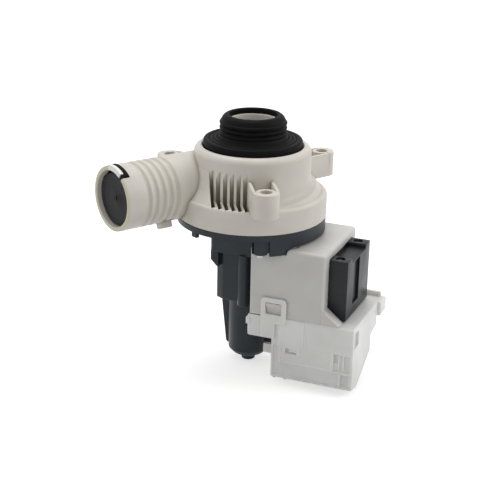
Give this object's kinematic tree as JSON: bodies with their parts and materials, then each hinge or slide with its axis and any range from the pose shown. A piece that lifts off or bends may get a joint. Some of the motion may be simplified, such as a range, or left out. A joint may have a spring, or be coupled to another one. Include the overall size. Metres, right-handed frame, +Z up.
{
  "type": "washing machine drain pump",
  "caption": "Drain pump with a round casing, ribbed rubber inlet sleeve, side outlet with a flap valve, rotor can, boxed coils and a terminal hood.",
  "frame": {"origin": "middle of the mounting screw circle, on the upper faces of the three mounting ears", "axes": "+Z up along the pump axis towards the inlet, +X from the rotor can towards the coils, +Y towards the back"},
  "size_m": [0.1817, 0.1466, 0.1818],
  "materials": {
    "casing_plastic": "smooth moulded polypropylene, warm off-white",
    "cover_plastic": "satin moulded plastic, cool white",
    "housing_plastic": "satin glass-filled plastic, dark blue-grey",
    "cap_plastic": "fine-grained glass-filled plastic, near black",
    "black_rubber": "smooth moulded rubber, black",
    "flap_rubber": "smooth moulded rubber, very dark grey",
    "impeller_plastic": "moulded plastic",
    "bobbin_plastic": "moulded plastic",
    "ferrite": "sintered ferrite, dark grey",
    "shaft_steel": "ground steel",
    "spring_steel": "spring steel",
    "screw_steel": "zinc-plated steel",
    "core_steel": "stacked electrical steel sheets",
    "bronze": "sintered bronze",
    "copper": "enamelled copper wire",
    "tin_brass": "tinned brass"
  },
  "bodies": {
    "casing": {"volute_housing": "casing_plastic", "inlet_sleeve": "black_rubber", "valve_ring": "black_rubber", "front_bearing": "bronze", "rear_bearing": "bronze", "bearing_holder": "housing_plastic", "rotor_housing": "housing_plastic", "housing_seal": "black_rubber", "housing_screws": "screw_steel", "stator_core": "core_steel", "bobbin_rear": "bobbin_plastic", "bobbin_front": "bobbin_plastic", "winding_rear": "copper", "winding_front": "copper", "thermal_cutout": "bobbin_plastic", "motor_cover": "cover_plastic", "yoke_cap": "cap_plastic", "yoke_bolts": "screw_steel", "terminal_shroud": "cover_plastic", "terminal_block": "bobbin_plastic", "spade_terminals": "tin_brass"},
    "rotor": {"rotor_shaft": "shaft_steel", "rotor_magnet": "ferrite", "impeller_driver": "impeller_plastic", "impeller_clip": "spring_steel"},
    "impeller_wheel": {"impeller": "impeller_plastic"},
    "check_valve": {"valve_flap": "flap_rubber", "flap_button": "flap_rubber"}
  },
  "joints": [
    {"name": "rotor_spin", "type": "hinge", "parent": "casing", "child": "rotor", "pos_m": [0, 0, 0], "axis": [0, 0, 1], "continuous": true},
    {"name": "impeller_play", "type": "hinge", "parent": "rotor", "child": "impeller_wheel", "pos_m": [0, 0, 0], "axis": [0, 0, 1], "range_deg": [-128, 128]},
    {"name": "flap_swing", "type": "hinge", "parent": "casing", "child": "check_valve", "pos_m": [-0.06568, -0.07043, 0.00335], "axis": [-0.8352, 0.5018, 0.225], "range_deg": [0, 48], "stiffness_Nm_per_rad": 0.002}
  ]
}
